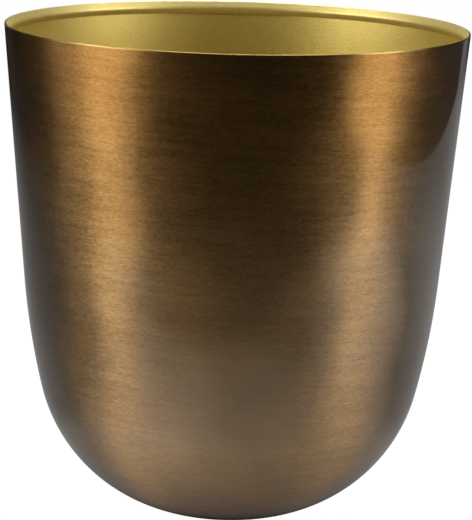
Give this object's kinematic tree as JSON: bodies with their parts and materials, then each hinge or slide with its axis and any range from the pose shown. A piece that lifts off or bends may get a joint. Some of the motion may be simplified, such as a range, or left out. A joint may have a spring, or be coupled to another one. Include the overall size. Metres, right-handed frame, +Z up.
{
  "type": "cachepot",
  "caption": "Round-bottomed metal cachepot with a tapering wall, an inward folded hem at its mouth and felt pads under a flat base; it holds an inner plant pot.",
  "frame": {"origin": "on the pot's axis, at the underside of the felt pads", "axes": "+Z up along the pot's axis, +X and +Y level through the middles of the felt pads"},
  "size_m": [0.3, 0.3, 0.32],
  "materials": {
    "antique_bronze": "sheet steel, brushed round the pot, antique bronze patina under clear lacquer",
    "gold_paint": "satin gold metallic paint, sprayed on the inside of the pot",
    "felt": "dense dark felt, die cut"
  },
  "bodies": {
    "root": {"wall": "antique_bronze", "bowl": "antique_bronze", "joint_weld": "antique_bronze", "base_pad_1": "felt", "base_pad_2": "felt", "base_pad_3": "felt", "base_pad_4": "felt"}
  },
  "joints": []
}
